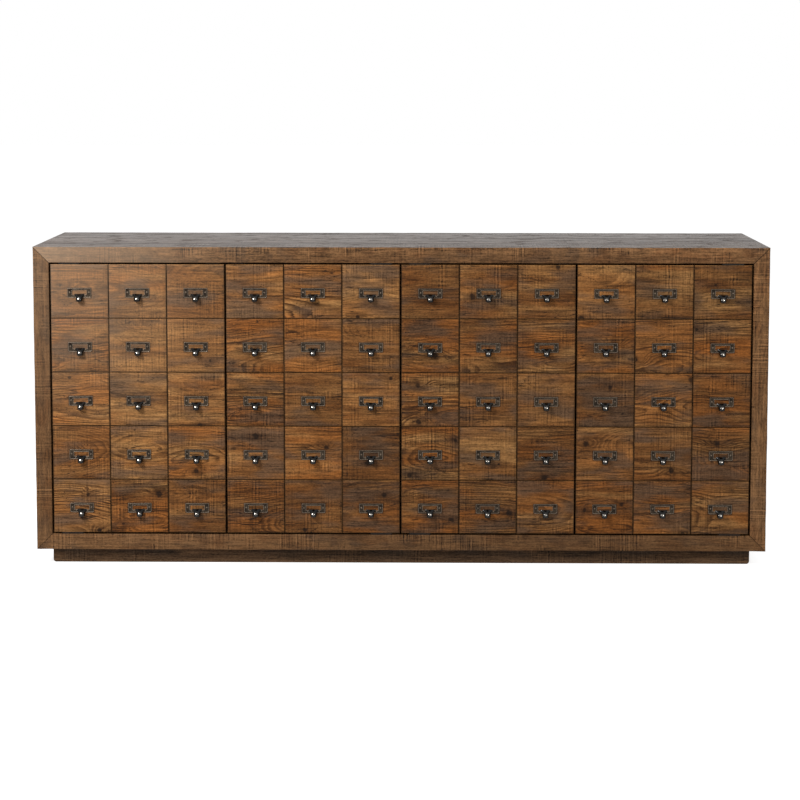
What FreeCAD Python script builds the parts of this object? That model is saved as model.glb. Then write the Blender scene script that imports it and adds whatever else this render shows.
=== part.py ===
import FreeCAD, Part
import math
import os

from FreeCAD import Vector

# Long pine sideboard. A mitred case on a set-back plinth is closed by four
# flush doors. Each door is faced with small mock drawer fronts, and each front
# carries a cast card-frame pull. Millimetres, Z up, front towards -Y, and the
# origin lies on the floor under the middle of the whole piece.

# Case
CASE_WIDTH = 2000.0
CASE_DEPTH = 480.0
CASE_HEIGHT = 836.0
PANEL = 44.0
PLINTH_HEIGHT = 44.0
PLINTH_INSET = 38.0
PLINTH_RAIL = 22.0
PLINTH_FOOT_RADIUS = 8.0
CORNER_BLOCK = 60.0
CORNER_BLOCK_LIFT = 6.0
CROSS_RAILS = 2

# Mitre tongues, which lie across each corner joint
TONGUE_THICKNESS = 6.0
TONGUE_WIDTH = 22.0
TONGUE_STOP = 36.0
TONGUE_OFFSET = 5.0

# Back, partition and shelves
BACK_THICKNESS = 8.0
BACK_REBATE = 12.0
BACK_SEAM = 1.0
PARTITION = 22.0
PARTITION_SETBACK = 46.0
HOUSING_DEPTH = 8.0
SHELF_THICKNESS = 20.0
SHELF_SETBACK = 70.0
SHELF_PLAY = 1.0
SHELF_HEIGHT = 372.0
BATTEN_THICKNESS = 16.0
BATTEN_HEIGHT = 28.0
BATTEN_SETBACK = 12.0
BATTEN_SNIPE = 10.0

# Doors and their facing fronts
DOORS = 4
DOOR_GAP = 4.0
DOOR_BOARD = 20.0
FACING = 6.0
COLUMNS = 3
ROWS = 5
FACING_SEAM = 1.0
FACING_EASE = 1.0

# Knife hinges: a case leaf with a fixed pin and a door leaf with an eye meet
# in the gap below each door and in the gap above it
PIVOT_FROM_EDGE = 26.0
PIVOT_FROM_FRONT = 10.0
PIVOT_DIAMETER = 6.0
PIVOT_CLEARANCE = 0.1
PIVOT_END_ROOM = 0.3
LEAF_LENGTH = 64.0
LEAF_WIDTH = 14.0
LEAF_THICKNESS = 3.0
LEAF_CORNER = 4.0

# Magnetic catches under the top and their plates on the doors
CATCH_LENGTH = 46.0
CATCH_DEPTH = 14.0
CATCH_HEIGHT = 13.0
CATCH_EAR = 8.0
CATCH_EAR_HEIGHT = 3.0
CATCH_FROM_EDGE = 34.0
CATCH_CLEARANCE = 0.3
STRIKE_LENGTH = 38.0
STRIKE_HEIGHT = 12.0
STRIKE_THICKNESS = 1.5
STRIKE_DROP = 3.0

# Card-frame pull: a plate with a window, and a hollow finger hood
PULL_WIDTH = 64.0
PULL_HEIGHT = 25.5
PULL_PLATE = 2.0
PULL_CORNER = 2.5
PULL_DROP = 4.0
WINDOW_WIDTH = 40.0
WINDOW_HEIGHT = 12.5
TOP_BAR = 5.5
HOOD_BROW_WIDTH = 27.0
HOOD_PROJECTION = 16.0
HOOD_BROW_DEPTH = 3.5
HOOD_BROW_RADIUS = 3.0
HOOD_RISE = 2.5
HOOD_SHOULDER = 7.0
HOOD_SHOULDER_WIDTH = 20.0
HOOD_SHOULDER_DEPTH = 13.5
HOOD_REACH = 8.5
HOOD_NOSE_WIDTH = 17.0
HOOD_RIM_LIFT = 5.0
HOOD_RADIUS = 8.0
HOOD_WALL = 1.8
HOOD_ROOF = 3.7
HOOD_HOLLOW_DEPTH = 6.5
HOOD_FACETS = 2

# Derived places
FRONT_Y = HOOD_PROJECTION - (CASE_DEPTH + HOOD_PROJECTION) / 2
BACK_Y = FRONT_Y + CASE_DEPTH
HALF_WIDTH = CASE_WIDTH / 2
CASE_BOTTOM = PLINTH_HEIGHT
CASE_TOP = CASE_BOTTOM + CASE_HEIGHT
OPENING_HALF = HALF_WIDTH - PANEL
OPENING_BOTTOM = CASE_BOTTOM + PANEL
OPENING_TOP = CASE_TOP - PANEL
BACK_FACE_Y = BACK_Y - BACK_THICKNESS
SHELF_FRONT_Y = FRONT_Y + SHELF_SETBACK
SHELF_BACK_Y = BACK_FACE_Y - SHELF_PLAY
SHELF_Z = OPENING_BOTTOM + SHELF_HEIGHT

DOOR_WIDTH = (2 * OPENING_HALF - (DOORS + 1) * DOOR_GAP) / DOORS
DOOR_HEIGHT = OPENING_TOP - OPENING_BOTTOM - 2 * DOOR_GAP
DOOR_BOTTOM = OPENING_BOTTOM + DOOR_GAP
DOOR_TOP = OPENING_TOP - DOOR_GAP
DOOR_FRONT_Y = FRONT_Y + FACING
DOOR_BACK_Y = DOOR_FRONT_Y + DOOR_BOARD
FRONT_WIDTH = (DOOR_WIDTH - (COLUMNS - 1) * FACING_SEAM) / COLUMNS
FRONT_HEIGHT = (DOOR_HEIGHT - (ROWS - 1) * FACING_SEAM) / ROWS

PIVOT_Y = FRONT_Y + PIVOT_FROM_FRONT
PIVOT_RADIUS = PIVOT_DIAMETER / 2
EYE_RADIUS = PIVOT_RADIUS + PIVOT_CLEARANCE
LOWER_LEAVES_MEET = OPENING_BOTTOM + DOOR_GAP / 2
UPPER_LEAVES_MEET = OPENING_TOP - DOOR_GAP / 2
STRIKE_BACK_Y = DOOR_BACK_Y + STRIKE_THICKNESS
CATCH_FRONT_Y = STRIKE_BACK_Y + CATCH_CLEARANCE


def block(x0, x1, y0, y1, z0, z1):
    """Rectangular solid between two corners."""
    return Part.makeBox(x1 - x0, y1 - y0, z1 - z0, Vector(x0, y0, z0))


def rod(radius, x, y, z0, z1):
    """Upright cylinder."""
    return Part.makeCylinder(radius, z1 - z0, Vector(x, y, z0))


def prism(points, travel):
    """Closed outline pushed along a vector."""
    return Part.Face(Part.makePolygon(points + points[:1])).extrude(travel)


def save(name, *solids):
    """Write one node as a single solid or a group of solids."""
    shape = solids[0] if len(solids) == 1 else Part.makeCompound(list(solids))
    shape.exportStep(os.path.join("parts", name + ".step"))


# Case: four boards mitred into a ring, with a rebate for the back and a
# housing for the partition.


def ring_corners(half_width, bottom, top):
    """Corners of a rectangle in the front plane, clockwise from the top left."""
    spots = [(-half_width, top), (half_width, top), (half_width, bottom), (-half_width, bottom)]
    return [Vector(x, FRONT_Y, z) for x, z in spots]


def mitre_tongue(outer, inner):
    """Plywood tongue that crosses one mitre at a right angle."""
    middle = (outer + inner) / 2
    along = (inner - outer).normalize()
    across = Vector(-along.z, 0, along.x)
    centre = middle + along * TONGUE_OFFSET
    corners = []
    for side, end in ((-1, -1), (1, -1), (1, 1), (-1, 1)):
        corners.append(centre + along * (side * TONGUE_THICKNESS / 2) + across * (end * TONGUE_WIDTH / 2))
    start = Vector(0, TONGUE_STOP, 0)
    return prism([corner + start for corner in corners], Vector(0, CASE_DEPTH - 2 * TONGUE_STOP, 0))


def make_case():
    outer = ring_corners(HALF_WIDTH, CASE_BOTTOM, CASE_TOP)
    inner = ring_corners(OPENING_HALF, OPENING_BOTTOM, OPENING_TOP)
    tongues = [mitre_tongue(outer[i], inner[i]) for i in range(4)]
    rebate = block(
        -OPENING_HALF - BACK_REBATE,
        OPENING_HALF + BACK_REBATE,
        BACK_FACE_Y,
        BACK_Y,
        OPENING_BOTTOM - BACK_REBATE,
        OPENING_TOP + BACK_REBATE,
    )
    cuts = tongues + [rebate, partition()] + case_leaf_blanks()
    for i, name in enumerate(("top_panel", "right_side_panel", "bottom_panel", "left_side_panel")):
        after = (i + 1) % 4
        board = prism([outer[i], outer[after], inner[after], inner[i]], Vector(0, CASE_DEPTH, 0))
        save(name, board.cut(cuts))
    save("mitre_tongues", *tongues)


def partition():
    """Upright board between the two bays, housed in the top and the bottom."""
    return block(
        -PARTITION / 2,
        PARTITION / 2,
        FRONT_Y + PARTITION_SETBACK,
        BACK_FACE_Y,
        OPENING_BOTTOM - HOUSING_DEPTH,
        OPENING_TOP + HOUSING_DEPTH,
    )


def make_partition_and_back():
    save("centre_partition", partition())
    low = OPENING_BOTTOM - BACK_REBATE
    high = OPENING_TOP + BACK_REBATE
    edge = OPENING_HALF + BACK_REBATE
    save("back_panel_left", block(-edge, -BACK_SEAM / 2, BACK_FACE_Y, BACK_Y, low, high))
    save("back_panel_right", block(BACK_SEAM / 2, edge, BACK_FACE_Y, BACK_Y, low, high))


# Shelves: one in each bay, lying on a batten at each side.


def shelf_batten(wall, inward):
    """Strip screwed to a wall, its front lower corner sniped off."""
    front = SHELF_FRONT_Y + BATTEN_SETBACK
    low = SHELF_Z - BATTEN_HEIGHT
    points = [
        Vector(wall, front, SHELF_Z),
        Vector(wall, SHELF_BACK_Y, SHELF_Z),
        Vector(wall, SHELF_BACK_Y, low),
        Vector(wall, front + BATTEN_SNIPE, low),
        Vector(wall, front, low + BATTEN_SNIPE),
    ]
    return prism(points, Vector(inward * BATTEN_THICKNESS, 0, 0))


def make_shelves():
    near = PARTITION / 2
    far = OPENING_HALF
    save("shelf_battens_left", shelf_batten(-far, 1), shelf_batten(-near, -1))
    save("shelf_battens_right", shelf_batten(near, 1), shelf_batten(far, -1))
    near = near + SHELF_PLAY
    far = far - SHELF_PLAY
    for name, x0, x1 in (("shelf_left", -far, -near), ("shelf_right", near, far)):
        save(name, block(x0, x1, SHELF_FRONT_Y, SHELF_BACK_Y, SHELF_Z, SHELF_Z + SHELF_THICKNESS))


# Plinth: four rails with corner blocks and cross rails inside.


def plinth_long_rail(y0):
    """Long rail with its two lower corners rounded by wear."""
    half = HALF_WIDTH - PLINTH_INSET
    rail = block(-half, half, y0, y0 + PLINTH_RAIL, 0, PLINTH_HEIGHT)
    crossing = [e for e in rail.Edges if e.BoundBox.YLength > PLINTH_RAIL / 2]
    lower = [e for e in crossing if e.BoundBox.ZMax < PLINTH_HEIGHT / 2]
    return rail.makeFillet(min(PLINTH_FOOT_RADIUS, PLINTH_RAIL / 2), lower)


def corner_block(x, y, x_inward, y_inward):
    """Three-cornered glue block in one corner of the plinth."""
    points = [
        Vector(x, y, CORNER_BLOCK_LIFT),
        Vector(x + x_inward * CORNER_BLOCK, y, CORNER_BLOCK_LIFT),
        Vector(x, y + y_inward * CORNER_BLOCK, CORNER_BLOCK_LIFT),
    ]
    return prism(points, Vector(0, 0, PLINTH_HEIGHT - CORNER_BLOCK_LIFT))


def make_plinth():
    front = FRONT_Y + PLINTH_INSET
    back = BACK_Y - PLINTH_INSET
    half = HALF_WIDTH - PLINTH_INSET
    save("plinth_front_rail", plinth_long_rail(front))
    save("plinth_back_rail", plinth_long_rail(back - PLINTH_RAIL))
    y0 = front + PLINTH_RAIL
    y1 = back - PLINTH_RAIL
    save("plinth_left_rail", block(-half, -half + PLINTH_RAIL, y0, y1, 0, PLINTH_HEIGHT))
    save("plinth_right_rail", block(half - PLINTH_RAIL, half, y0, y1, 0, PLINTH_HEIGHT))
    reach = half - PLINTH_RAIL
    blocks = [corner_block(sx * reach, y, -sx, sy) for sx in (-1, 1) for y, sy in ((y0, 1), (y1, -1))]
    save("plinth_corner_blocks", *blocks)
    rails = []
    for i in range(CROSS_RAILS):
        x = -reach + 2 * reach * (i + 1) / (CROSS_RAILS + 1)
        rails.append(block(x - PLINTH_RAIL / 2, x + PLINTH_RAIL / 2, y0, y1, 0, PLINTH_HEIGHT))
    save("plinth_cross_rails", *rails)


# Knife hinges: the outer doors turn beside the case sides and the inner doors
# beside the partition, each on a pin below and a pin above.


def door_left_x(door):
    return -OPENING_HALF + DOOR_GAP + door * (DOOR_WIDTH + DOOR_GAP)


def door_is_left_hung(door):
    return door % 2 == 0


def door_side(door):
    """Hinge edge of a door and the direction from it across the door."""
    if door_is_left_hung(door):
        return door_left_x(door), 1
    return door_left_x(door) + DOOR_WIDTH, -1


def pivot_x(door):
    edge, inward = door_side(door)
    return edge + inward * PIVOT_FROM_EDGE


def leaf_blank(door, z):
    """Thin leaf without its pin or eye, its corners clipped."""
    half = LEAF_WIDTH / 2
    x = pivot_x(door)
    inward = door_side(door)[1]
    c = LEAF_CORNER
    outline = [
        (-half, c - half),
        (c - half, -half),
        (LEAF_LENGTH - half - c, -half),
        (LEAF_LENGTH - half, c - half),
        (LEAF_LENGTH - half, half - c),
        (LEAF_LENGTH - half - c, half),
        (c - half, half),
        (-half, half - c),
    ]
    points = [Vector(x + inward * along, PIVOT_Y + across, z) for along, across in outline]
    return prism(points, Vector(0, 0, LEAF_THICKNESS))


def case_leaf_blanks():
    """Leaves let into the bottom and the top of the case."""
    below = [leaf_blank(door, LOWER_LEAVES_MEET - LEAF_THICKNESS) for door in range(DOORS)]
    above = [leaf_blank(door, UPPER_LEAVES_MEET) for door in range(DOORS)]
    return below + above


def door_leaf_blanks(door):
    """Leaves let into the lower and the upper edge of one door."""
    return [leaf_blank(door, LOWER_LEAVES_MEET), leaf_blank(door, UPPER_LEAVES_MEET - LEAF_THICKNESS)]


def make_case_hinges():
    blanks = case_leaf_blanks()
    pin_length = LEAF_THICKNESS - PIVOT_END_ROOM
    below = []
    above = []
    for door in range(DOORS):
        x = pivot_x(door)
        pin = rod(PIVOT_RADIUS, x, PIVOT_Y, LOWER_LEAVES_MEET, LOWER_LEAVES_MEET + pin_length)
        below.append(blanks[door].fuse(pin))
        pin = rod(PIVOT_RADIUS, x, PIVOT_Y, UPPER_LEAVES_MEET - pin_length, UPPER_LEAVES_MEET)
        above.append(blanks[DOORS + door].fuse(pin))
    save("case_hinge_leaves_below", *below)
    save("case_hinge_leaves_above", *above)


# Catches: a magnet block hangs under the top behind the free corner of each
# door and meets a steel plate on the door's back.


def catch_middle(door):
    edge, inward = door_side(door)
    return edge + inward * (DOOR_WIDTH - CATCH_FROM_EDGE)


def magnetic_catch(door):
    """Magnet block with a thin screw ear at each end."""
    x = catch_middle(door)
    half = CATCH_LENGTH / 2
    body = half - CATCH_EAR
    low = OPENING_TOP - CATCH_HEIGHT
    ear = OPENING_TOP - CATCH_EAR_HEIGHT
    outline = [
        (-half, OPENING_TOP),
        (half, OPENING_TOP),
        (half, ear),
        (body, ear),
        (body, low),
        (-body, low),
        (-body, ear),
        (-half, ear),
    ]
    return prism([Vector(x + dx, CATCH_FRONT_Y, z) for dx, z in outline], Vector(0, CATCH_DEPTH, 0))


def strike_plate(door):
    x = catch_middle(door)
    half = STRIKE_LENGTH / 2
    top = DOOR_TOP - STRIKE_DROP
    return block(x - half, x + half, DOOR_BACK_Y, STRIKE_BACK_Y, top - STRIKE_HEIGHT, top)


# Pull: the hood is a skin of flat facets over U-shaped sections, shallow at the
# brow and deep at the nose, hollowed from below for a fingertip and cut on a
# slant. The sections keep their edges parallel, so that every facet is flat.


def hood_section(half_width, depth, radius, z):
    """U closed along the wood, its two corners rounded in even facets."""
    points = [Vector(half_width, 0, z)]
    for side in (1, -1):
        for i in range(HOOD_FACETS + 1):
            step = i if side == 1 else HOOD_FACETS - i
            turn = math.pi / 2 * step / HOOD_FACETS
            x = half_width - radius + radius * math.cos(turn)
            points.append(Vector(side * x, radius - depth - radius * math.sin(turn), z))
    points.append(Vector(-half_width, 0, z))
    return points


def faceted_loft(sections):
    """Solid between outlines that have the same number of points."""
    loops = [sections[0], sections[-1]]
    for lower, upper in zip(sections, sections[1:]):
        for i in range(len(lower)):
            loops.append([lower[i - 1], lower[i], upper[i], upper[i - 1]])
    faces = [Part.Face(Part.makePolygon(loop + loop[:1])) for loop in loops]
    return Part.makeSolid(Part.makeShell(faces))


def make_pull_shape():
    """One pull about the middle of its plate, with its back on y = 0."""
    half_w = PULL_WIDTH / 2
    half_h = PULL_HEIGHT / 2
    c = PULL_CORNER
    outline = [
        (-half_w, half_h),
        (half_w, half_h),
        (half_w, -half_h + c),
        (half_w - c, -half_h),
        (-half_w + c, -half_h),
        (-half_w, -half_h + c),
    ]
    plate = prism([Vector(x, -PULL_PLATE, z) for x, z in outline], Vector(0, PULL_PLATE, 0))
    window_top = half_h - TOP_BAR
    window_bottom = window_top - WINDOW_HEIGHT
    plate = plate.cut(block(-WINDOW_WIDTH / 2, WINDOW_WIDTH / 2, -PULL_PLATE, 0, window_bottom, window_top))

    brow = window_bottom + HOOD_RISE
    shoulder = brow - HOOD_SHOULDER
    nose = -half_h - HOOD_REACH
    outer = faceted_loft(
        [
            hood_section(HOOD_BROW_WIDTH / 2, HOOD_BROW_DEPTH, HOOD_BROW_RADIUS, brow),
            hood_section(HOOD_SHOULDER_WIDTH / 2, HOOD_SHOULDER_DEPTH, HOOD_RADIUS, shoulder),
            hood_section(HOOD_NOSE_WIDTH / 2, HOOD_PROJECTION, HOOD_RADIUS, nose),
        ]
    )
    wall = HOOD_WALL
    inner_radius = HOOD_RADIUS - wall
    hollow = faceted_loft(
        [
            hood_section(HOOD_SHOULDER_WIDTH / 2 - wall, HOOD_HOLLOW_DEPTH, inner_radius, brow - HOOD_ROOF),
            hood_section(HOOD_NOSE_WIDTH / 2 - wall, HOOD_PROJECTION - wall, inner_radius, nose),
        ]
    )
    rim = nose + HOOD_RIM_LIFT
    slant = [
        Vector(-PULL_WIDTH / 2, 0, rim),
        Vector(-PULL_WIDTH / 2, -HOOD_PROJECTION, nose),
        Vector(-PULL_WIDTH / 2, 0, nose),
    ]
    below_rim = prism(slant, Vector(PULL_WIDTH, 0, 0))
    return plate.fuse(outer.cut([hollow, below_rim])).removeSplitter()


# Doors: a board, its facing fronts, their pulls and the hinge parts that
# travel with it.


def facing_centres(door):
    """Middle of each facing front, row by row from the top."""
    left = door_left_x(door)
    for row in range(ROWS):
        z = DOOR_TOP - FRONT_HEIGHT / 2 - row * (FRONT_HEIGHT + FACING_SEAM)
        for column in range(COLUMNS):
            yield left + FRONT_WIDTH / 2 + column * (FRONT_WIDTH + FACING_SEAM), z


def facing_front(x, z):
    """One mock drawer front, its four front edges eased."""
    slab = block(
        x - FRONT_WIDTH / 2,
        x + FRONT_WIDTH / 2,
        FRONT_Y,
        FRONT_Y + FACING,
        z - FRONT_HEIGHT / 2,
        z + FRONT_HEIGHT / 2,
    )
    face_edges = [e for e in slab.Edges if e.BoundBox.YMax < FRONT_Y + FACING / 2]
    return slab.makeChamfer(FACING_EASE, face_edges)


def make_door(door, pull):
    name = "door_%d" % (door + 1)
    left = door_left_x(door)
    x = pivot_x(door)
    leaves = door_leaf_blanks(door)
    board = block(left, left + DOOR_WIDTH, DOOR_FRONT_Y, DOOR_BACK_Y, DOOR_BOTTOM, DOOR_TOP)
    save(name + "_board", board.cut(leaves))
    fronts = []
    pulls = []
    for cx, cz in facing_centres(door):
        fronts.append(facing_front(cx, cz).cut(leaves))
        pulls.append(pull.translated(Vector(cx, FRONT_Y, cz - PULL_DROP)))
    save(name + "_fronts", *fronts)
    save(name + "_pulls", *pulls)
    eye = rod(EYE_RADIUS, x, PIVOT_Y, DOOR_BOTTOM - DOOR_GAP, DOOR_TOP + DOOR_GAP)
    save(name + "_hinge_leaves", *[leaf.cut(eye) for leaf in leaves])
    save(name + "_strike_plate", strike_plate(door))


os.makedirs("parts", exist_ok=True)
make_case()
make_partition_and_back()
make_shelves()
make_plinth()
make_case_hinges()
save("magnetic_catches", *[magnetic_catch(door) for door in range(DOORS)])
pull_shape = make_pull_shape()
for door_index in range(DOORS):
    make_door(door_index, pull_shape)
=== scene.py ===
import math
import random

import bmesh
import bpy
from mathutils import Matrix, Vector


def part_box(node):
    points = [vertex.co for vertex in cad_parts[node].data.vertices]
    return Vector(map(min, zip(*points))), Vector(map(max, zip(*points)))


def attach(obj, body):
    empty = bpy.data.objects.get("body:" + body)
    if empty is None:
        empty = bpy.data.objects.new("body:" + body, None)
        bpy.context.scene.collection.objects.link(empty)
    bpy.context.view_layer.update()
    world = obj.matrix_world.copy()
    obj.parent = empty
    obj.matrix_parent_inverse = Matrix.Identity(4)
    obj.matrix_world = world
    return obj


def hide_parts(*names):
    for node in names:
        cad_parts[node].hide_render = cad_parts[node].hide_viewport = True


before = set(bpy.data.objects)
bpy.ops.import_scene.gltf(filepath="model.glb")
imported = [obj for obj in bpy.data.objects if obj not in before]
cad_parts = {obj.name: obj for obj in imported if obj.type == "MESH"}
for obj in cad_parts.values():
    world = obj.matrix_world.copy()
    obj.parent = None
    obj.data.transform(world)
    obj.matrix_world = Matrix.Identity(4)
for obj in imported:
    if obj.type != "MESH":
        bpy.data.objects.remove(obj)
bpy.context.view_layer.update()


# Plinth. Four rails of pine on edge, stained dark and set back under the case, with corner
# blocks glued inside and two cross rails, and painted paler towards the floor and lighter towards
# the ends as painted light. The rails keep their sawn faces; only the edges are eased.


class Wire:
    """A value in a material. An operator on it adds the node that works it out."""

    def __init__(self, tree, socket=None):
        self.tree = tree
        self.socket = socket

    def node(self, kind, takes, gives=0, **settings):
        """Adds a node, sets it up, links or sets what it takes and gives one of its outputs."""
        made = self.tree.nodes.new("ShaderNode" + kind)
        for setting, value in settings.items():
            setattr(made, setting, value)
        for name, value in takes.items():
            if isinstance(value, Wire):
                self.tree.links.new(value.socket, made.inputs[name])
            else:
                made.inputs[name].default_value = value
        return Wire(self.tree, made.outputs[gives])

    def other(self, gives):
        return Wire(self.tree, self.socket.node.outputs[gives])

    def maths(self, work, *values):
        return self.node("Math", dict(enumerate(values)), operation=work)

    def __add__(self, value):
        return self.maths("ADD", self, value)

    __radd__ = __add__

    def __sub__(self, value):
        return self.maths("SUBTRACT", self, value)

    def __rsub__(self, value):
        return self.maths("SUBTRACT", value, self)

    def __mul__(self, value):
        return self.maths("MULTIPLY", self, value)

    __rmul__ = __mul__

    def __truediv__(self, value):
        return self.maths("DIVIDE", self, value)

    def __abs__(self):
        return self.maths("ABSOLUTE", self)

    def floor(self):
        return self.maths("FLOOR", self)

    def fraction(self):
        return self.maths("FRACT", self)

    def hypotenuse(self, value):
        return self.maths("SQRT", self * self + value * value)

    def smaller(self, value):
        return self.maths("MINIMUM", self, value)

    def larger(self, value):
        return self.maths("MAXIMUM", self, value)

    def under(self, value):
        return self.maths("LESS_THAN", self, value)

    def between(self, low, high):
        """0 at low and 1 at high, with a soft start and end."""
        takes = {"Value": self, "From Min": low, "From Max": high}
        return self.node("MapRange", takes, interpolation_type="SMOOTHSTEP")

    def noise(self, scale, detail, harsh=0.5):
        """Soft noise over this place, about 0.5 in the middle."""
        takes = {"Vector": self, "Scale": scale, "Detail": detail, "Roughness": harsh}
        return self.node("TexNoise", takes)

    def noise_along(self, detail):
        """Noise along this one value, for lines and bands."""
        takes = {"W": self, "Scale": 1.0, "Detail": detail}
        return self.node("TexNoise", takes, noise_dimensions="1D")

    def times(self, x, y, z):
        """This place, stretched along each axis."""
        return self.node("VectorMath", {0: self, 1: (x, y, z)}, operation="MULTIPLY")

    def parts(self):
        split = self.node("SeparateXYZ", {0: self})
        return split, split.other(1), split.other(2)

    def vector(self, x, y, z):
        return self.node("CombineXYZ", {0: x, 1: y, 2: z})

    def scaled(self, factor):
        return self.node("VectorMath", {0: self, "Scale": factor}, operation="SCALE")

    def mixed(self, factor, colour):
        """This colour, going over to another one by factor."""
        return self.node("Mix", {0: factor, 6: self, 7: colour}, 2, data_type="RGBA")

    def graded(self, none, full):
        """One colour where this value is 0, going over to another where it is 1."""
        return self.node("Mix", {0: self, 6: none, 7: full}, 2, data_type="RGBA")

    def minus(self, place):
        return self.node("VectorMath", {0: self, 1: place}, operation="SUBTRACT")

    def attribute(self, name, gives="Fac"):
        """What a piece's own mesh says about its faces or corners."""
        return self.node("Attribute", {}, gives, attribute_name=name)


def paint(red, green, blue):
    """A colour as a paint chart gives it, from 0 to 255."""
    light = [c / 255 for c in (red, green, blue)]
    return (*[c / 12.92 if c < 0.04045 else ((c + 0.055) / 1.055) ** 2.4 for c in light], 1.0)


def new_finish(name):
    """An empty material: its values, its shader and its name."""
    finish = bpy.data.materials.new(name)
    finish.use_nodes = True
    shader = finish.node_tree.nodes["Principled BSDF"]
    return finish, Wire(finish.node_tree), shader


def feed(shader, **values):
    """Links or sets the shader's sockets."""
    for name, value in values.items():
        socket = shader.inputs[name.replace("_", " ")]
        if isinstance(value, Wire):
            value.tree.links.new(value.socket, socket)
        else:
            socket.default_value = value


def pine(name, run, tones, planks=None, face=0.0, half=None, ring=0.0058, saw=1.0, stain=1.0,
         knots=0.5, seam=0.0018, level=1.0, painted_sheen=0.0, painted_light_low=0.0, skin=None, mitred=None,
         pulled=None):
    """Old pine. Growth rings run round a heart that wanders behind the board, knots push them
    aside, and saw marks cross them.

    run names the axes along, across and through the board, and tones its colours: pale, warm,
    middle, late wood, grey stain and dark. planks is the width of the glued planks and where the
    first one starts, and face is where their face lies. A board on its own has its half size in
    half instead, and its seat and its lot of the wood in attributes. ring is the width of a
    growth ring and seam that of the dark line at a joint. saw, stain and knots say how much of
    each there is. level is painted light and shade: how much lighter or darker the board is drawn
    for the light that falls on it. painted_sheen says how strongly a pale sheen is painted over
    its upper left, where the light falls, and painted_light_low how much paler it is painted near
    the floor. skin is a grey laid on the face and its share, partly a stain and partly a painted
    sheen, with wax over it. mitred has the half length, top and foot of the case, and pulled the
    half width, half height and drop of a pull, for a dark ring drawn round it."""
    finish, wood, shader = new_finish(name)
    pale, warm, mid, late, grey, dark = [paint(*tone) for tone in tones]
    place = wood.node("TexCoord", {}, "Object")
    if planks:
        axes = dict(zip("xyz", place.parts()))
        along, across, through = [axes[axis] for axis in run]
        width, start = planks
        row = (across - start) / width
        index = row.floor()
        across = (row - index - 0.5) * width
        through = through - face
        lot = wood.node("TexWhiteNoise", {0: wood.vector(index, 3.1 + face, 7.7)}, "Color",
                        noise_dimensions="3D")
        edge = width / 2 - abs(across)
    else:
        seat = wood.attribute("seat", "Vector")
        lot = wood.attribute("lot", "Vector")
        axes = dict(zip("xyz", place.minus(seat).parts()))
        along, across, through = [axes[axis] for axis in run]
        edge = (half[0] - abs(along)).smaller(half[1] + across)
    first, second, third = lot.parts()
    spot = wood.vector(along + first * 9.0, across + second * 7.0, through + third * 5.0)

    def cloud(x, y, z, detail=2.0, harsh=0.5):
        return spot.times(x, y, z).noise(1.0, detail, harsh)

    # Knots: a dark eye where a branch left the trunk, with the rings flowing round it.
    wobble = cloud(60, 60, 60, 1.0)
    knot_spot = wood.vector(along + third * 4.0 + wobble * 0.006,
                            across + first * 4.0 - wobble * 0.006, 0.0)
    cell = wood.node("TexVoronoi", {"Vector": knot_spot, "Scale": 8.3, "Randomness": 0.85}, "Color",
                     voronoi_dimensions="2D")
    chance, girth, _ = cell.parts()
    away_along, away_across, _ = knot_spot.minus(cell.other("Position")).parts()
    near = away_along.hypotenuse(away_across)
    far = (away_along * 0.42).hypotenuse(away_across)
    here = chance.under(knots)
    size = (girth * 0.006 + 0.0035) * (0.45 + cloud(170.0, 170.0, 170.0, 2.0))
    swell = (1.0 - far.between(0.0, 0.034)) * here

    # Growth rings.
    wander = cloud(2.6, 0.0, 0.0, 1.0) - 0.5
    ripple = cloud(8.0, 38.0, 38.0, 3.0) - 0.5
    heart_depth = through + 0.014 + second * 0.045 + wander * 0.17
    heart_aside = across + (first - 0.5) * 0.15 + (cloud(1.7, 3.0, 3.0, 0.0) - 0.5) * 0.06
    radius = heart_depth.hypotenuse(heart_aside) + ripple * 0.012 + swell * swell * 0.016
    spacing = (radius * 60.0 + third * 30.0).noise_along(2.0)
    turn = (radius / ring + spacing * 2.6).fraction()
    late_wood = turn.between(0.2, 0.84) * (1.0 - turn.between(0.86, 1.0))
    late_wood = late_wood * cloud(6.0, 26.0, 26.0, 3.0).between(0.28, 0.60) * (first * 0.75 + 0.40)

    # What age and the saw left on it.
    fibre = cloud(30.0, 620.0, 620.0, 3.0, 0.65) - 0.5
    streak = cloud(5.5, 120.0, 120.0, 4.0, 0.62)
    crack = cloud(7.0, 190.0, 190.0, 3.0, 0.6)
    thread = cloud(11.0, 230.0, 230.0, 3.0, 0.7) - 0.5
    ragged = streak * 0.0012
    check = abs(cloud(3.2, 46.0, 46.0, 3.0, 0.6) - 0.5).between(0.013, 0.003)
    check = check * cloud(7.0, 19.0, 19.0, 2.0).between(0.46, 0.58)
    blotch = cloud(6.0, 19.0, 19.0, 2.5, 0.55)
    soot = cloud(9.0, 30.0, 30.0, 3.0, 0.6)
    comb = (along * 210.0 + wobble * 0.9 + second * 40.0).noise_along(1.0) - 0.5
    sawn = cloud(9.0, 13.0, 13.0, 3.0, 0.6).between(0.44, 0.62)
    saw_step = 0.0235
    stroke = (along / saw_step + first * 5.0 + wobble * 0.06).fraction().between(0.075, 0.0)
    stroke = stroke * cloud(9.0, 16.0, 16.0, 2.0).between(0.55, 0.66)
    speck = wood.node("TexVoronoi", {"Vector": spot, "Scale": 120.0, "Randomness": 1.0}, "Distance")
    pit = speck.between(0.20, 0.10) * cloud(13.0, 21.0, 21.0, 2.0).between(0.52, 0.62)

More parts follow.
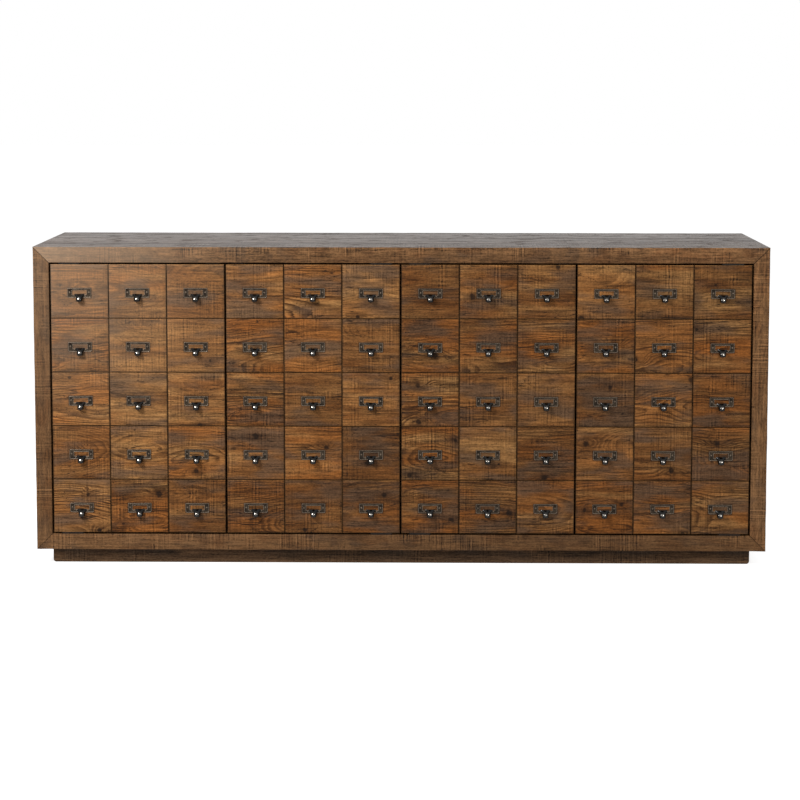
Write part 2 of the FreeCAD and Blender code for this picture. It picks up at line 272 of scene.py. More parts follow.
    # Its colours, from the clean wood to the dirt on it.
    colour = cloud(3.0, 17.0, 17.0, 3.0, 0.6).between(0.33, 0.67).graded(pale, mid)
    warmth = cloud(4.0, 17.0, 17.0, 2.0).between(0.36, 0.64) * first.between(-0.3, 0.8)
    colour = colour.mixed(warmth * 0.9, warm)
    colour = colour.mixed(third.between(0.40, 1.0) * 0.55, mid)
    colour = colour.mixed(second.between(0.5, 1.3) * 0.4, pale)
    colour = colour.mixed(late_wood * 0.85, late)
    colour = colour.mixed(streak.between(0.49, 0.70) * 0.60, late)
    colour = colour.mixed(blotch.between(0.45, 0.66) * (0.8 * stain), grey)
    colour = colour.mixed(soot.between(0.52, 0.74) * (0.5 * stain), late)
    colour = colour.mixed(crack.between(0.61, 0.70) * blotch.between(0.40, 0.60) * 0.7, dark)
    colour = colour.mixed(check * 0.8, dark)
    colour = colour.mixed((1.0 - far.between(0.004, 0.020)) * here * 0.45, late)
    eye = (near / size).between(1.35, 0.55) * here
    colour = colour.mixed(eye * 0.85, dark)
    colour = colour.mixed(pit * 0.8, dark)
    colour = colour.mixed(stroke * (0.30 * saw), dark)
    joint = (edge - ragged).between(seam, 0.0)
    colour = colour.mixed(joint * 0.9, dark)
    patchy = cloud(30.0, 30.0, 30.0, 3.0).between(0.35, 0.6) * 0.5 + 0.3
    # Rubbed edges are painted paler, partly for wear and partly as a painted highlight.
    colour = colour.mixed(wood.attribute("worn_and_lit") * patchy, pale)
    sideways, back, up = place.parts()
    # The upper left of the piece, where the light falls most: the painted sheen goes there and the
    # painted shade keeps away from it.
    lit_upper_left = sideways.between(-0.3, -1.0) * up.between(0.3, 0.9)
    # Painted light: paler towards the floor, where more light reaches the plinth.
    if painted_light_low:
        colour = colour.mixed(up.between(0.036, 0.002) * painted_light_low, pale)
    if mitred:
        half_long, case_top, case_foot = mitred
        aside = half_long - abs(sideways)
        mitre = abs(aside - (case_top - up)).smaller(abs(aside - (up - case_foot)))
        line = (mitre - ragged).between(0.0014, 0.0) * aside.under(0.05)
        colour = colour.mixed(line * (up * 0.6 + 0.3), dark)
        # Painted shade: a band just below the top of the case is drawn darker, except at the upper
        # left.
        painted_shade_band = up.between(0.868, 0.842) * up.between(0.80, 0.82)
        colour = colour.mixed(painted_shade_band * (1.0 - lit_upper_left) * 0.25, late)
    if pulled:
        half_wide, half_high, drop = pulled
        outside = (abs(along) - half_wide).larger(abs(across + drop) - half_high)
        colour = colour.mixed(abs(outside).between(0.0034, 0.0006) * 0.6, dark)
    if skin:
        shade, share = skin
        weathered = cloud(3.5, 44.0, 44.0, 4.0, 0.7).between(0.48, 0.62)
        dried = cloud(15.0, 34.0, 34.0, 4.0, 0.7).between(0.53, 0.62).larger(joint)
        colour = colour.mixed(share, paint(*shade)).mixed(weathered.larger(dried) * 0.5, dark)
        # Painted sheen: paler towards the front edge.
        colour = colour.mixed(back.between(-0.02, -0.20) * 0.3, paint(146, 134, 126))
        wax = (1.0 - weathered * 0.5) * (1.0 - dried * 0.95) * 0.66
        feed(shader, Coat_Weight=wax, Coat_Roughness=0.4, Coat_IOR=1.4)

    # How light each board and each fibre of it is.
    drift = cloud(1.3, 3.0, 3.0, 1.0) - 0.5
    speck_tone = cloud(150.0, 330.0, 330.0, 2.0, 0.7) - 0.5
    tone = 0.825 + second * 0.34 + drift * 0.5 + fibre * 1.1 + thread * 2.4 + speck_tone * 1.7
    tone = tone + comb * sawn * (1.4 * saw)
    # Painted light: the case and the plinth are drawn lighter towards both ends, towards the top and
    # at the top right.
    if mitred or painted_light_low:
        lit_to_sides = abs(sideways - 0.2).between(0.1, 0.9)
        lit_top_right = sideways.between(0.15, 0.7) * up.between(0.79, 0.85)
        tone = tone * (0.90 + lit_to_sides * 0.18 + up.between(0.45, 0.85) * 0.1 + lit_top_right * 0.12)
    colour = colour.scaled(tone * level)
    # Painted sheen: a pale tan laid over the upper left.
    if painted_sheen:
        colour = colour.mixed(lit_upper_left * painted_sheen, paint(150, 130, 110))

    height = late_wood * -0.25 + fibre * 0.35 + comb * sawn * saw
    height = height - pit * 1.2 - stroke * 0.7 - eye * 0.5 - check
    bump = wood.node("Bump", {"Height": height, "Strength": 0.55, "Distance": 0.0009})
    feed(shader, Base_Color=colour, Roughness=0.6 + late_wood * 0.08 + fibre * 0.1, Normal=bump,
         Specular_IOR_Level=0.1)
    return finish


def alone(piece):
    """Selects one piece and nothing else."""
    bpy.ops.object.select_all(action="DESELECT")
    piece.select_set(True)
    bpy.context.view_layer.objects.active = piece


def modify(piece, kind, **settings):
    """Adds a modifier and applies it."""
    alone(piece)
    modifier = piece.modifiers.new(kind.title(), kind)
    for setting, value in settings.items():
        setattr(modifier, setting, value)
    bpy.ops.object.modifier_apply(modifier=modifier.name)


def dress(piece, finish, body, slot, *nodes):
    """Gives a piece its finish, the body it moves with and the nodes it stands for."""
    alone(piece)
    bpy.ops.object.shade_smooth_by_angle(angle=math.radians(35))
    piece.data.materials.clear()
    piece.data.materials.append(finish)
    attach(piece, body)
    if nodes:
        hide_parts(*nodes)


def eased(node, finish, body, slot, width):
    """A CAD node with its sharp edges planed off."""
    piece = bpy.data.objects.new(node + "_eased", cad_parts[node].data.copy())
    bpy.context.collection.objects.link(piece)
    alone(piece)
    bpy.ops.object.mode_set(mode="EDIT")
    bpy.ops.mesh.select_all(action="SELECT")
    bpy.ops.mesh.customdata_custom_splitnormals_clear()
    bpy.ops.mesh.remove_doubles(threshold=0.00002)
    bpy.ops.mesh.dissolve_limited(angle_limit=math.radians(1))
    bpy.ops.object.mode_set(mode="OBJECT")
    modify(piece, "BEVEL", width=width, segments=2, limit_method="ANGLE", angle_limit=math.radians(40))
    dress(piece, finish, body, slot, node)


def refinish(node, finish):
    """A CAD node whose shape is right, with a better finish."""
    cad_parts[node].data.materials.clear()
    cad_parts[node].data.materials.append(finish)


plinth_tones = ((128, 97, 70), (116, 85, 58), (92, 69, 49), (55, 40, 29), (77, 64, 54),
                (24, 17, 12))
plinth_planks = (0.09, -0.04)
plinth_long = pine("plinth_long", "xzy", plinth_tones, plinth_planks, face=-0.194, knots=0.3,
                   painted_light_low=0.7, level=0.86)
plinth_short = pine("plinth_short", "yzx", plinth_tones, plinth_planks, face=0.962, knots=0.3,
                    painted_light_low=0.7, level=0.86)
for node, finish in (("plinth_front_rail", plinth_long), ("plinth_back_rail", plinth_long),
                     ("plinth_left_rail", plinth_short), ("plinth_right_rail", plinth_short)):
    eased(node, finish, "case", "plinth_pine", 0.0015)
refinish("plinth_corner_blocks", plinth_long)
refinish("plinth_cross_rails", plinth_short)


# Case. Top, bottom and sides are 44 mm boards of reclaimed pine, each glued up from four
# planks and mitred into the next, so the grain turns the corner. Edges are rubbed down by
# hand and wander a little.


def choose(piece, kind, test):
    """In edit mode, selects the vertices, edges or faces that pass the test."""
    shell = bmesh.from_edit_mesh(piece.data)
    shell.select_mode = {kind}
    for part in (*shell.faces, *shell.edges, *shell.verts):
        part.select = False
    parts = {"VERT": shell.verts, "EDGE": shell.edges, "FACE": shell.faces}[kind]
    for part in parts:
        if test(part):
            part.select_set(True)
    shell.select_flush_mode()
    bmesh.update_edit_mesh(piece.data)


def block_at(name, low, high):
    """A cube primitive at its size and place."""
    bpy.ops.object.select_all(action="DESELECT")
    middle = [(a + b) / 2 for a, b in zip(low, high)]
    sizes = [b - a for a, b in zip(low, high)]
    bpy.ops.mesh.primitive_cube_add(size=1, location=middle, scale=sizes)
    piece = bpy.context.object
    piece.name = piece.data.name = name
    bpy.ops.object.transform_apply(location=True, rotation=True, scale=True)
    return piece


def mark_worn_and_lit(piece):
    """Writes down the selected faces as rubbed and painted lit, and keeps their corners in a group."""
    bpy.ops.object.mode_set(mode="OBJECT")
    group = piece.vertex_groups.new(name="rubbed_and_lit")
    worn_and_lit = piece.data.attributes.new("worn_and_lit", "FLOAT", "FACE")
    for face in piece.data.polygons:
        worn_and_lit.data[face.index].value = float(face.select)
        if face.select:
            group.add(face.vertices, 1.0, "REPLACE")


rub = bpy.data.textures.new("rub", "CLOUDS")
rub.noise_scale = 0.06


def rub_down(piece):
    """Takes up to 1.2 mm off the rubbed edges, more here and less there."""
    modify(piece, "DISPLACE", texture=rub, texture_coords="LOCAL", vertex_group="rubbed_and_lit",
           strength=0.0012, mid_level=1.0)


# A hair's breadth tells what lies on a face from what lies behind it.
hair = 0.0001


def case_panel(node, long_axis, inward, finish, slot):
    """One mitred panel. inward is the way from its outer face to the inside of the case."""
    low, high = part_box(node)
    panel = block_at(node + "_planks", low, high)
    across_axis = max(range(3), key=lambda i: abs(inward[i]))
    thick = high[across_axis] - low[across_axis]
    inner = high[across_axis] if inward[across_axis] > 0 else low[across_axis]
    bpy.ops.object.mode_set(mode="EDIT")
    for end, step in ((low[long_axis], thick), (high[long_axis], -thick)):
        choose(panel, "VERT", lambda v: (abs(v.co[across_axis] - inner) < hair
                                         and abs(v.co[long_axis] - end) < hair))
        move = [0.0, 0.0, 0.0]
        move[long_axis] = step
        bpy.ops.transform.translate(value=move)
    choose(panel, "EDGE", lambda e: abs(e.verts[0].co[long_axis] - e.verts[1].co[long_axis]) > 0.5)
    cut_every = 0.014
    bpy.ops.mesh.subdivide(number_cuts=round((high[long_axis] - low[long_axis]) / cut_every))

    def runs_long(e):
        one, two = [v.co for v in e.verts]
        others = [i for i in range(3) if i != long_axis]
        at_edge = all(min(abs(one[i] - low[i]), abs(one[i] - high[i])) < hair for i in others)
        return at_edge and all(abs(one[i] - two[i]) < hair for i in others)

    choose(panel, "EDGE", runs_long)
    bpy.ops.mesh.bevel(offset=0.0022, segments=3)
    mark_worn_and_lit(panel)
    rub_down(panel)
    dress(panel, finish, "case", slot, node)
    return panel


case_tones = ((142, 103, 67), (134, 84, 46), (104, 69, 42), (60, 37, 22), (82, 68, 56),
              (22, 14, 9))
case_planks = (0.16, -0.262)
case_size = (1.0, 0.88, 0.044)
half_long, case_top, case_foot = case_size
# One wood for all four panels, each drawn lighter or darker by its level for the light that falls on
# it: the top lightest, then the right side, the bottom and the left side darkest.
top_pine = pine("top_pine", "xyz", case_tones, case_planks, face=case_top, saw=1.3, level=0.79,
                painted_sheen=0.56, mitred=case_size)
top_skin = pine("top_skin", "xyz", case_tones, case_planks, face=case_top, seam=0.008,
                skin=((80, 74, 70), 0.84))
bottom_pine = pine("bottom_pine", "xyz", case_tones, case_planks, face=case_foot, saw=1.7,
                   level=0.56, mitred=case_size)
left_pine = pine("left_pine", "zyx", case_tones, case_planks, face=-half_long, saw=1.6, level=0.44,
                 painted_sheen=0.15, mitred=case_size)
right_pine = pine("right_pine", "zyx", case_tones, case_planks, face=half_long, saw=1.6,
                  level=0.66, mitred=case_size)

# The upper face of the top is painted grey under its wax, partly weathering and partly a painted
# sheen, and paler towards the front as a painted sheen; its edges have kept their brown.
top = case_panel("top_panel", 0, (0, 0, -1), top_pine, "case_top")
top.data.materials.append(top_skin)
for face in top.data.polygons:
    face.material_index = int(face.normal.z > 0.8)

case_panel("right_side_panel", 2, (-1, 0, 0), right_pine, "case_pine")
case_panel("bottom_panel", 0, (0, 0, 1), bottom_pine, "case_pine")
case_panel("left_side_panel", 2, (1, 0, 0), left_pine, "case_pine")


# Tongues. Strips of birch plywood glued into a groove in each mitre, which line up its halves
# and hold them. They stop short of the front, so nothing of them shows.

plain_tones = ((164, 128, 90), (158, 114, 72), (140, 105, 70), (110, 77, 48), (124, 104, 84),
               (74, 52, 35))
plywood = pine("birch_plywood", "xzy", plain_tones, planks=(0.6, -0.3), face=0.24, ring=0.02,
               saw=0.2, stain=0.4, knots=0.0)
refinish("mitre_tongues", plywood)


# Inside of the case. A partition housed in the top and the bottom, two plywood backs in a
# rebate, and a shelf in each bay on screwed battens, all in cleaner pine.

inside_tones = ((160, 120, 80), (152, 102, 58), (128, 90, 56), (90, 58, 34), (104, 88, 72),
                (46, 31, 21))
upright_pine = pine("upright_pine", "zyx", inside_tones, planks=(0.11, -0.19), stain=0.6)
shelf_pine = pine("shelf_pine", "xyz", inside_tones, planks=(0.13, -0.16), face=0.48, stain=0.6)
eased("centre_partition", upright_pine, "case", "inside_pine", 0.0012)
eased("back_panel_left", plywood, "case", "plywood", 0.0008)
eased("back_panel_right", plywood, "case", "plywood", 0.0008)
for node in ("shelf_battens_left", "shelf_battens_right", "shelf_left", "shelf_right"):
    eased(node, shelf_pine, "case", "inside_pine", 0.0012)


# Hinges. Knife hinges of blued steel let into the ends of each door and into the case: the
# case leaf has the pin and the door leaf the eye.


def steel(name, tone, rough):
    """Rolled steel, brushed, with a slightly cloudy coating."""
    finish, metal, shader = new_finish(name)
    place = metal.node("TexCoord", {}, "Object")
    scratch = place.times(300.0, 3000.0, 3000.0).noise(1.0, 3.0)
    dull = paint(*[c * 0.78 for c in tone])
    coating = place.noise(90.0, 3.0).between(0.3, 0.7).graded(paint(*tone), dull)
    bump = metal.node("Bump", {"Height": scratch, "Strength": 0.2, "Distance": 0.0002})
    feed(shader, Base_Color=coating, Roughness=rough + (scratch - 0.5) * 0.2, Normal=bump,
         Metallic=0.9)
    return finish


hinge_steel = steel("blued_steel", (40, 36, 33), 0.5)
refinish("case_hinge_leaves_below", hinge_steel)
refinish("case_hinge_leaves_above", hinge_steel)


# Magnetic catches. Brown moulded cases under the top panel, one for each door, each held by a
# screw through either ear, with the two steel poles of its magnet at the front.


def copied(source, name, place):
    """A copy with its own mesh, turned and moved."""
    twin = bpy.data.objects.new(name, source.data.copy())
    bpy.context.collection.objects.link(twin)
    for group in source.vertex_groups:
        twin.vertex_groups.new(name=group.name)
    twin.data.transform(place)
    return twin


def joined(parts, name):
    """One piece made of several."""
    bpy.ops.object.select_all(action="DESELECT")
    for part in parts:
        part.select_set(True)
    bpy.context.view_layer.objects.active = parts[0]
    bpy.ops.object.join()
    parts[0].name = parts[0].data.name = name
    return parts[0]


def screw_head(name, radius, rise, slotted=True):
    """The domed head of a screw, or of a rivet without its slot, facing forward."""
    bpy.ops.object.select_all(action="DESELECT")
    bpy.ops.mesh.primitive_cylinder_add(vertices=14, radius=radius, depth=rise,
                                        rotation=(math.pi / 2, 0, 0), location=(0, -rise / 2, 0))
    head = bpy.context.object
    head.name = name
    bpy.ops.object.transform_apply(location=True, rotation=True, scale=True)
    bpy.ops.object.mode_set(mode="EDIT")
    choose(head, "FACE", lambda f: f.normal.y < -0.9)
    bpy.ops.mesh.inset(thickness=radius * 0.45)
    choose(head, "EDGE", lambda e: all(
        v.co.y < -rise * 0.9 and math.hypot(v.co.x, v.co.z) > radius * 0.9 for v in e.verts))
    bpy.ops.mesh.bevel(offset=radius * 0.42, segments=2)
    if slotted:
        slope = 0.25
        for side in (-0.00035, 0.00035):
            bpy.ops.mesh.select_all(action="SELECT")
            bpy.ops.mesh.bisect(plane_co=(0, 0, side), plane_no=(slope, 0, 1))
        choose(head, "FACE", lambda f: f.normal.y < -0.3 and abs(
            f.calc_center_median().x * slope + f.calc_center_median().z) < 0.0003)
        bpy.ops.mesh.extrude_region_move(TRANSFORM_OT_translate={"value": (0, rise * 0.5, 0)})
    bpy.ops.object.mode_set(mode="OBJECT")
    return head


catch_finish, moulding, catch_shader = new_finish("brown_moulding")
place = moulding.node("TexCoord", {}, "Object")
grain = place.noise(900.0, 2.0)
shade = place.noise(60.0, 2.0).between(0.3, 0.7).graded(paint(78, 52, 36), paint(64, 42, 29))
bump = moulding.node("Bump", {"Height": grain, "Strength": 0.3, "Distance": 0.0002})
feed(catch_shader, Base_Color=shade, Roughness=0.42 + grain * 0.1, Normal=bump)
refinish("magnetic_catches", catch_finish)

doors = (1, 2, 3, 4)
bright_steel = steel("bright_steel", (150, 146, 138), 0.45)
catch_screw = screw_head("catch_screw", 0.0026, 0.0010)
facing_down = Matrix.Rotation(math.radians(90), 4, "X")
pole_half_wide, pole_half_thick = 0.0125, 0.0006
low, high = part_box("magnetic_catches")
steelwork = []
for door in doors:
    strike_low, strike_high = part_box(f"door_{door}_strike_plate")
    middle = (strike_low.x + strike_high.x) / 2
    for side in (-0.019, 0.019):
        ear = Matrix.Translation((middle + side, (low.y + high.y) / 2, high.z - 0.003))
        steelwork.append(copied(catch_screw, "ear_screw", ear @ facing_down))
    for depth in (0.0055, 0.0105):
        pole = high.z - depth
        steelwork.append(block_at(
            "magnet_pole", (middle - pole_half_wide, low.y - 0.0002, pole - pole_half_thick),
            (middle + pole_half_wide, low.y + 0.001, pole + pole_half_thick)))
dress(joined(steelwork, "catch_steelwork"), bright_steel, "case", "strike_steel")
bpy.data.objects.remove(catch_screw)


# Doors. Each is one 20 mm board with fifteen thin fronts glued on, five rows of three, so that
# it looks like a bank of drawers.

door_tones = ((146, 106, 66), (138, 88, 46), (112, 76, 46), (76, 48, 28), (92, 76, 62),
              (36, 25, 17))
door_pine = pine("door_pine", "zxy", door_tones, planks=(0.119, -0.952), face=-0.206, stain=0.7)

front_half_wide, front_half_high = 0.0785, 0.0736
front_face, front_back = -0.232, -0.226
column_step, row_step = 0.158, 0.1482
pull_half_wide, pull_half_high, pull_drop = 0.032, 0.01275, 0.004
front_tones = ((152, 110, 65), (140, 83, 35), (106, 66, 32), (54, 31, 14), (84, 64, 48),
               (21, 12, 7))
front_pine = pine("front_pine", "xzy", front_tones, half=(front_half_wide, front_half_high),
                  seam=0.0027, painted_sheen=0.36, pulled=(pull_half_wide, pull_half_high, pull_drop))

front = block_at("front", (-front_half_wide, front_face, -front_half_high),
                 (front_half_wide, front_back, front_half_high))
bpy.ops.object.mode_set(mode="EDIT")
choose(front, "EDGE", lambda e: abs(e.verts[0].co.y - e.verts[1].co.y) < hair)
bpy.ops.mesh.subdivide(number_cuts=11)
choose(front, "FACE", lambda f: f.normal.y > 0.9)
bpy.ops.mesh.dissolve_faces()


def outlines_face(e):
    """Whether an edge is part of the outline of the front's face."""
    one, two = [v.co for v in e.verts]
    at_side = abs(one.x + two.x) > 2 * front_half_wide - hair
    at_end = abs(one.z + two.z) > 2 * front_half_high - hair
    return max(one.y, two.y) < front_face + hair and (at_side or at_end)


choose(front, "EDGE", outlines_face)
bpy.ops.mesh.bevel(offset=0.0014, segments=2)
mark_worn_and_lit(front)


def front_centres(door):
    """Middle of each front of a door, row by row from the top."""
    low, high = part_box(f"door_{door}_fronts")
    for row in range(5):
        for column in range(3):
            yield (low.x + front_half_wide + column_step * column,
                   high.z - front_half_high - row_step * row)


def note(piece, name, value):
    """Writes a number or a vector on every face of a piece, for its finish to read."""
    kind, field = ("FLOAT", "value") if len(value) == 1 else ("FLOAT_VECTOR", "vector")
    noted = piece.data.attributes.new(name, kind, "FACE")
    noted.data.foreach_set(field, value * len(piece.data.polygons))


# Each front has its own draw of the wood, and the fronts of the left door are painted lighter for
# the light that falls on them. The top edges of the first row are painted paler than the other
# edges, partly worn by hands and partly as a painted highlight.
luck = random.Random(11)
door_painted_light = {1: 0.35, 2: 0.08, 3: -0.05, 4: 0.05}
first_row = 0.7
for door in doors:
    eased(f"door_{door}_board", door_pine, f"door_{door}", "door_board", 0.0008)
    fronts = []
    for x, z in front_centres(door):
        twin = copied(front, "front_copy", Matrix.Translation((x, 0.0, z)))
        note(twin, "seat", [x, front_face, z])
        note(twin, "lot", [luck.random(), min(1.0, luck.random() * 0.9 + door_painted_light[door]),
                           luck.random()])
        for face in twin.data.polygons:
            # Painted highlight: the top edges of the first row are drawn paler, the other edges less
            # pale.
            top_edge = z > first_row and face.normal.z > 0.3
            twin.data.attributes["worn_and_lit"].data[face.index].value *= 1.6 if top_edge else 0.35
        fronts.append(twin)
    facing = joined(fronts, f"door_{door}_facing")
    rub_down(facing)
    dress(facing, front_pine, f"door_{door}", "front_pine", f"door_{door}_fronts")
bpy.data.objects.remove(front)


# Pulls. Card-frame pulls cast in iron and left dark: a plate with a window, screwed on at both
# sides, and a hollow finger hood riveted below. Their rims, screw heads and rivets are painted
# paler, partly worn by handling and partly as painted highlights, and each nose is polished metal
# with a painted highlight.

plate_thick, rim_high = 0.002, 0.0007
window_half, window_low, window_high = 0.020, -0.00525, 0.00725
pull = block_at("pull", (-pull_half_wide, -plate_thick, -pull_half_high),
                (pull_half_wide, 0.0, pull_half_high))
bpy.ops.object.mode_set(mode="EDIT")
for spot, normal in (((-window_half, 0, 0), (1, 0, 0)), ((window_half, 0, 0), (1, 0, 0)),
                     ((0, 0, window_high), (0, 0, 1)), ((0, 0, window_low), (0, 0, 1))):
    bpy.ops.mesh.select_all(action="SELECT")
    bpy.ops.mesh.bisect(plane_co=spot, plane_no=normal)
choose(pull, "FACE", lambda f: abs(f.normal.y) > 0.9
       and abs(f.calc_center_median().x) < window_half
       and window_low < f.calc_center_median().z < window_high)
bpy.ops.mesh.bridge_edge_loops()
lower_corners, upper_corners = (-1, 0.0034, 3), (1, 0.0012, 2)
for end, offset, segments in (lower_corners, upper_corners):
    choose(pull, "EDGE", lambda e: all(abs(v.co.x) > pull_half_wide - hair
                                       and v.co.z * end > pull_half_high - hair for v in e.verts))
    bpy.ops.mesh.bevel(offset=offset, segments=segments)
choose(pull, "FACE", lambda f: f.normal.y < -0.9)
bpy.ops.mesh.inset(thickness=0.0010)
bpy.ops.transform.translate(value=(0, rim_high, 0))
choose(pull, "EDGE", lambda e: all(v.co.y < hair - plate_thick for v in e.verts)
       and len(e.link_faces) == 2 and e.calc_face_angle() > 0.4)
bpy.ops.mesh.bevel(offset=0.00045, segments=1)
# The raised rim of the plate is painted paler, partly for wear and partly as a painted highlight.
choose(pull, "FACE", lambda f: f.calc_center_median().y < -0.0015)
mark_worn_and_lit(pull)

bpy.ops.object.select_all(action="DESELECT")
bpy.ops.mesh.primitive_circle_add(vertices=32, radius=1.0, location=(0, 0, 0))
hood = bpy.context.object
hood.name = "hood"
bpy.ops.object.mode_set(mode="EDIT")
choose(hood, "VERT", lambda v: v.co.y > hair)
bpy.ops.mesh.delete(type="VERT")

# Height, half width and depth of the hood, from its brow down to its nose.
hood_sections = ((-0.00300, 0.0138, 0.0030), (-0.0046, 0.0134, 0.0050), (-0.0064, 0.0122, 0.0076),
                 (-0.0084, 0.0108, 0.0101), (-0.0106, 0.0097, 0.0122), (-0.0130, 0.0090, 0.0140),
                 (-0.0152, 0.0087, 0.0151), (-0.0172, 0.0085, 0.0157), (-0.0192, 0.0083, 0.0160),
                 (-0.0222, 0.0078, 0.0158))
height, wide, deep = hood_sections[0]
bend = min(wide, deep)
bpy.ops.mesh.select_all(action="SELECT")
bpy.ops.transform.resize(value=(wide, bend, 1), center_override=(0, 0, 0))
bpy.ops.transform.translate(value=(0, 0, height))
for lower, next_wide, next_deep in hood_sections[1:]:
    next_bend = min(next_wide, next_deep)
    bpy.ops.mesh.extrude_edges_move(TRANSFORM_OT_translate={"value": (0, 0, lower - height)})
    bpy.ops.transform.resize(value=(next_wide / wide, 1, 1), center_override=(0, 0, lower))
    choose(hood, "VERT", lambda v: abs(v.co.z - lower) < hair and v.co.y < -hair)
    bpy.ops.transform.resize(value=(1, next_bend / bend, 1), center_override=(0, bend - deep, lower))
    bpy.ops.transform.translate(value=(0, (next_bend - next_deep) - (bend - deep), 0))
    choose(hood, "EDGE", lambda e: all(abs(v.co.z - lower) < hair for v in e.verts))
    height, wide, deep, bend = lower, next_wide, next_deep, next_bend
choose(hood, "VERT", lambda v: abs(v.co.z - hood_sections[0][0]) < hair)
bpy.ops.mesh.edge_face_add()

# The mouth is cut on a slant, and then the shell gets its thickness.
bpy.ops.mesh.select_all(action="SELECT")
bpy.ops.mesh.bisect(plane_co=(0, 0, -0.01625), plane_no=(0, 0.005, -0.016), clear_outer=True)
bpy.ops.mesh.select_all(action="SELECT")
bpy.ops.mesh.normals_make_consistent(inside=False)
bpy.ops.object.mode_set(mode="OBJECT")
modify(hood, "SOLIDIFY", thickness=0.0013, offset=-1.0, use_even_offset=True)

screw = screw_head("screw", 0.0023, 0.0012)
rivet = screw_head("rivet", 0.0016, 0.0014, slotted=False)
inside_rim = rim_high - plate_thick
heads = []
for head, x, z in ((screw, 0.0263, 0.0016), (rivet, 0.0158, -0.0078)):
    for side in (-x, x):
        heads.append(copied(head, head.name + "_copy", Matrix.Translation((side, inside_rim, z))))
        # Screw heads and rivets are painted paler, partly for wear and partly as a painted highlight.
        note(heads[-1], "worn_and_lit", [0.9])
    bpy.data.objects.remove(head)
note(hood, "hooded", [1.0])
# The nose is marked for polished metal and a painted highlight, strongest at its middle.
nose_z, nose_half_wide, nose_half_high = -0.0142, 0.0085, 0.0066
polish_and_highlight = hood.data.attributes.new("polish_and_highlight", "FLOAT", "POINT")
for vert in hood.data.vertices:
    off_nose = math.hypot(vert.co.x / nose_half_wide, (vert.co.z - nose_z) / nose_half_high)
    polish_and_highlight.data[vert.index].value = max(0.0, 1.0 - off_nose) if vert.co.y < -0.009 else 0.0
pull = joined([pull, hood, *heads], "pull")

iron, metal, iron_shader = new_finish("dark_iron")
place = metal.node("TexCoord", {}, "Object")
cast = place.noise(420.0, 4.0, 0.6)
rubbed_and_lit = metal.attribute("worn_and_lit")
hooded = metal.attribute("hooded")
polish_and_highlight = metal.attribute("polish_and_highlight").between(0.0, 0.7)
tone = place.noise(70.0, 3.0).between(0.35, 0.65).graded(paint(58, 49, 39), paint(34, 28, 22))
tone = tone.mixed(hooded, paint(8, 7, 7))
# Painted highlight: a grey sheen over the nose and a bright spot at its middle.
tone = tone.mixed(polish_and_highlight * 0.22, paint(110, 104, 96))
tone = tone.mixed(polish_and_highlight.between(0.85, 1.0) * 0.38, paint(200, 194, 184))
# Rims, screw heads and rivets painted paler, partly for wear and partly as a painted highlight.
tone = tone.mixed(rubbed_and_lit * cast.between(0.2, 0.6) * 0.55, paint(158, 140, 122))
bump = metal.node("Bump", {"Height": cast, "Strength": 0.2, "Distance": 0.0003})
feed(iron_shader, Base_Color=tone, Normal=bump, Metallic=0.6 + polish_and_highlight * 0.4, Specular_IOR_Level=0.15,
     Coat_Weight=hooded * 0.35, Coat_Roughness=0.06,
     Roughness=0.5 - hooded * 0.40 - rubbed_and_lit * 0.08 + (cast - 0.5) * 0.1)

slip = 0.0004
for door in doors:
    set_of_pulls = []
    for x, z in front_centres(door):
        shift = (x + luck.uniform(-slip, slip), front_face,
                 z - pull_drop + luck.uniform(-slip, slip))
        turn = Matrix.Rotation(math.radians(luck.gauss(0.0, 0.5)), 4, "Y")
        set_of_pulls.append(copied(pull, "pull_copy", Matrix.Translation(shift) @ turn))
    ironwork = joined(set_of_pulls, f"door_{door}_ironwork")
    dress(ironwork, iron, f"door_{door}", "pull_iron", f"door_{door}_pulls")
bpy.data.objects.remove(pull)


# Hinge leaves and strike plates of the doors. The leaves are let into both ends of the board,
# and each plate is screwed on opposite its catch.

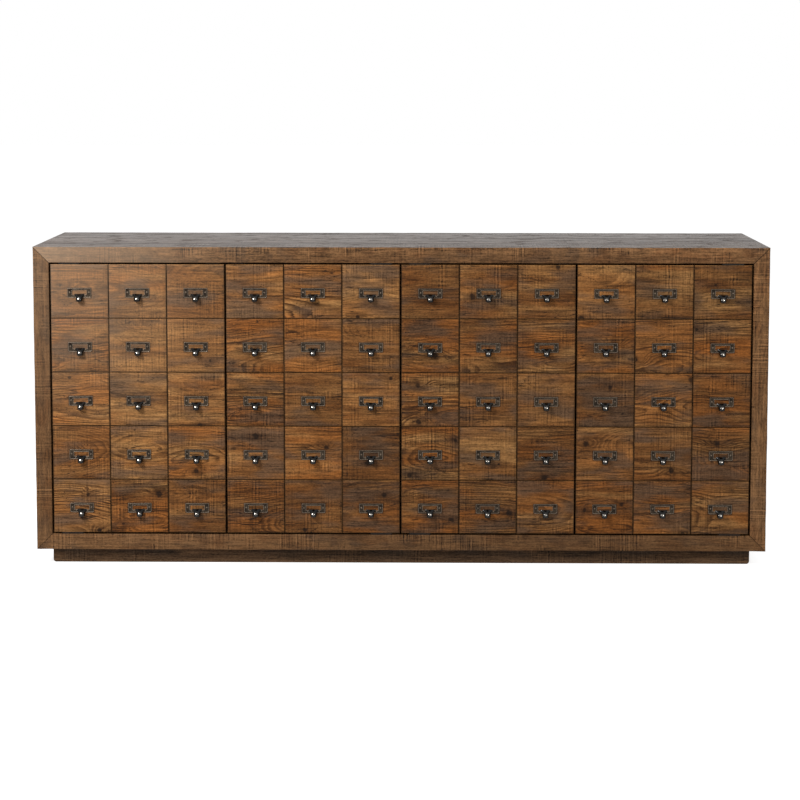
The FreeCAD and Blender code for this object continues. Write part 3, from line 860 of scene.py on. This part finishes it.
strike_screw = screw_head("strike_screw", 0.0018, 0.0005)
facing_back = Matrix.Rotation(math.pi, 4, "Z")
from_end = 0.0021
for door in doors:
    refinish(f"door_{door}_hinge_leaves", hinge_steel)
    eased(f"door_{door}_strike_plate", bright_steel, f"door_{door}", "strike_steel", 0.0003)
    low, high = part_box(f"door_{door}_strike_plate")
    pair = []
    for x in (low.x + from_end, high.x - from_end):
        hole = Matrix.Translation((x, high.y - hair, (low.z + high.z) / 2))
        pair.append(copied(strike_screw, "strike_screw_copy", hole @ facing_back))
    dress(joined(pair, f"door_{door}_strike_screws"), bright_steel, f"door_{door}", "strike_steel")
bpy.data.objects.remove(strike_screw)


# Camera, light and floor. The camera stands where the photograph was taken from. Two softboxes
# and an even room light the piece, and the room and the pale floor look white to the camera
# and in polished metal.

bpy.ops.object.camera_add(location=(0.061, -5.478, 1.355),
                          rotation=(math.radians(90 - 4.96), math.radians(-0.03), math.radians(0.688)))
camera = bpy.context.object
camera.data.lens = 87.55
camera.data.shift_y = -0.2
bpy.context.scene.camera = camera


def softbox(name, place, target, size, power):
    """A square studio lamp, turned to the piece."""
    bpy.ops.object.light_add(type="AREA", location=place)
    lamp = bpy.context.object
    lamp.name = name
    lamp.data.size = size
    lamp.data.energy = power
    lamp.rotation_euler = (Vector(target) - Vector(place)).to_track_quat("-Z", "Y").to_euler()


softbox("key_lamp", (-2.0, -1.9, 2.2), (-0.7, 0.0, 0.7), 0.8, 82.0)
softbox("fill_lamp", (2.3, -2.7, 2.1), (0.4, 0.0, 0.6), 0.6, 28.0)


def seen(tree):
    """1 for what the camera sees, itself or through metal and glass, and 0 for other light."""
    path = tree.node("LightPath", {}, "Is Camera Ray")
    return path.larger(path.other("Is Glossy Ray")).larger(path.other("Is Transmission Ray"))


white = (1.0, 1.0, 1.0, 1.0)
room_light = 0.38
world = bpy.data.worlds.new("studio")
bpy.context.scene.world = world
world.use_nodes = True
background = world.node_tree.nodes["Background"]
feed(background, Color=white, Strength=seen(Wire(world.node_tree)) * (1.0 - room_light) + room_light)

bpy.ops.object.select_all(action="DESELECT")
bpy.ops.mesh.primitive_plane_add(size=60.0)
floor = bpy.context.object
floor.name = "floor"
floor_finish, ground, floor_shader = new_finish("pale_floor")
feed(floor_shader, Base_Color=(0.55, 0.55, 0.55, 1.0), Roughness=0.9, Emission_Color=white,
     Emission_Strength=seen(ground) * 0.82, Specular_IOR_Level=0.0)
floor.data.materials.append(floor_finish)

bpy.context.scene.view_settings.view_transform = "Standard"
